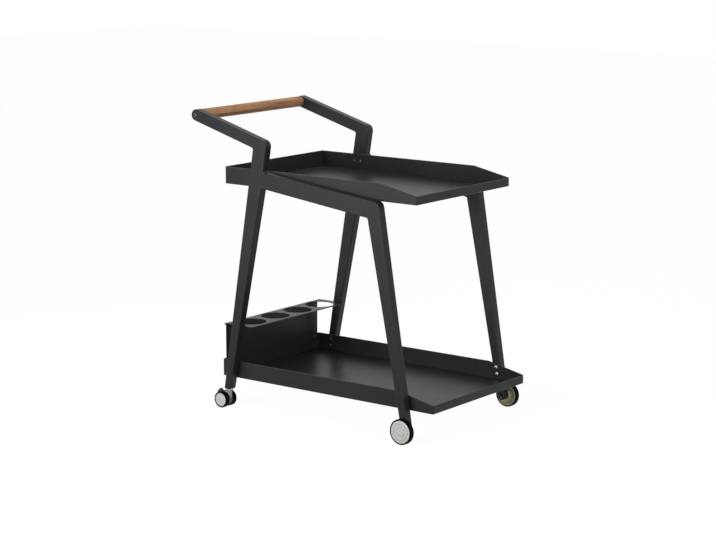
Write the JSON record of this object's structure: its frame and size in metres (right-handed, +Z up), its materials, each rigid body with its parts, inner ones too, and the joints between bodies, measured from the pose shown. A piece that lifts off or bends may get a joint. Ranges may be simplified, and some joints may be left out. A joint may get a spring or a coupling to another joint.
{
  "type": "serving cart",
  "caption": "Serving cart with tapered side frames, sloped-wall sheet trays, a bottle rack, a wooden push bar, fixed front wheels and braked rear casters.",
  "frame": {"origin": "on the floor, under the middle of the cart's outline", "axes": "+X forwards to the low ends of the trays, +Y to the left, +Z up"},
  "size_m": [0.8759, 0.564, 0.9024],
  "materials": {
    "powder_coat": "matt charcoal powder coat",
    "wood": "oiled, fine lengthwise grain",
    "steel": "satin",
    "dark_steel": "blackened, satin",
    "hub_plastic": "satin",
    "wheel_plastic": "satin",
    "grey_plastic": "satin",
    "black_plastic": "matt",
    "tread": "matt"
  },
  "bodies": {
    "frame": {"bottle_rack": "powder_coat", "bottle_rack_nuts": "steel", "bottle_rack_screws": "dark_steel", "caster_stem_left": "steel", "caster_stem_right": "steel", "front_axle_left": "steel", "front_axle_nuts": "dark_steel", "front_axle_right": "steel", "front_axle_washers": "steel", "front_leg_left": "powder_coat", "front_leg_right": "powder_coat", "handle_arm_left": "powder_coat", "handle_arm_right": "powder_coat", "lower_tray": "powder_coat", "lower_tray_front_rivet_nuts": "steel", "lower_tray_front_screws": "steel", "lower_tray_rear_rivet_nuts": "steel", "lower_tray_rear_screws": "dark_steel", "push_bar": "wood", "push_bar_bolts": "dark_steel", "push_bar_inserts": "steel", "rear_leg_left": "powder_coat", "rear_leg_right": "powder_coat", "top_rail_left": "powder_coat", "top_rail_right": "powder_coat", "tray_support_left": "powder_coat", "tray_support_nuts": "steel", "tray_support_right": "powder_coat", "upper_tray": "powder_coat", "upper_tray_rivet_nuts": "steel", "upper_tray_screws": "dark_steel"},
    "front_wheel_left": {"front_wheel_hub_left": "hub_plastic", "front_wheel_tyre_left": "tread", "front_wheel_bush_left": "wheel_plastic", "front_wheel_cover_left": "wheel_plastic"},
    "caster_left": {"caster_housing_left": "grey_plastic", "caster_axle_left": "steel", "brake_pedal_pin_left": "steel"},
    "brake_left": {"brake_pedal_left": "black_plastic"},
    "caster_wheel_left_outer": {"caster_outer_wheel_left": "wheel_plastic", "caster_outer_tyre_left": "tread"},
    "caster_wheel_left_inner": {"caster_inner_wheel_left": "wheel_plastic", "caster_inner_tyre_left": "tread"},
    "front_wheel_right": {"front_wheel_hub_right": "hub_plastic", "front_wheel_tyre_right": "tread", "front_wheel_bush_right": "wheel_plastic", "front_wheel_cover_right": "wheel_plastic"},
    "caster_right": {"caster_housing_right": "grey_plastic", "caster_axle_right": "steel", "brake_pedal_pin_right": "steel"},
    "brake_right": {"brake_pedal_right": "black_plastic"},
    "caster_wheel_right_outer": {"caster_outer_wheel_right": "wheel_plastic", "caster_outer_tyre_right": "tread"},
    "caster_wheel_right_inner": {"caster_inner_wheel_right": "wheel_plastic", "caster_inner_tyre_right": "tread"}
  },
  "joints": [
    {"name": "front_wheel_spin_left", "type": "hinge", "parent": "frame", "child": "front_wheel_left", "pos_m": [0.356, 0.27255, 0.0375], "axis": [0, 1, 0], "continuous": true},
    {"name": "caster_swivel_left", "type": "hinge", "parent": "frame", "child": "caster_left", "pos_m": [-0.309, 0.248, 0.045], "axis": [0, 0, 1], "continuous": true},
    {"name": "caster_wheel_spin_left_outer", "type": "hinge", "parent": "caster_left", "child": "caster_wheel_left_outer", "pos_m": [-0.327, 0.264, 0.025], "axis": [0, 1, 0], "continuous": true},
    {"name": "caster_wheel_spin_left_inner", "type": "hinge", "parent": "caster_left", "child": "caster_wheel_left_inner", "pos_m": [-0.327, 0.232, 0.025], "axis": [0, 1, 0], "continuous": true},
    {"name": "brake_pedal_left", "type": "hinge", "parent": "caster_left", "child": "brake_left", "pos_m": [-0.338, 0.248, 0.039], "axis": [0, -1, 0], "range_deg": [0, 15]},
    {"name": "front_wheel_spin_right", "type": "hinge", "parent": "frame", "child": "front_wheel_right", "pos_m": [0.356, -0.27255, 0.0375], "axis": [0, 1, 0], "continuous": true},
    {"name": "caster_swivel_right", "type": "hinge", "parent": "frame", "child": "caster_right", "pos_m": [-0.309, -0.248, 0.045], "axis": [0, 0, 1], "continuous": true},
    {"name": "caster_wheel_spin_right_outer", "type": "hinge", "parent": "caster_right", "child": "caster_wheel_right_outer", "pos_m": [-0.327, -0.264, 0.025], "axis": [0, 1, 0], "continuous": true},
    {"name": "caster_wheel_spin_right_inner", "type": "hinge", "parent": "caster_right", "child": "caster_wheel_right_inner", "pos_m": [-0.327, -0.232, 0.025], "axis": [0, 1, 0], "continuous": true},
    {"name": "brake_pedal_right", "type": "hinge", "parent": "caster_right", "child": "brake_right", "pos_m": [-0.338, -0.248, 0.039], "axis": [0, -1, 0], "range_deg": [0, 15]}
  ]
}
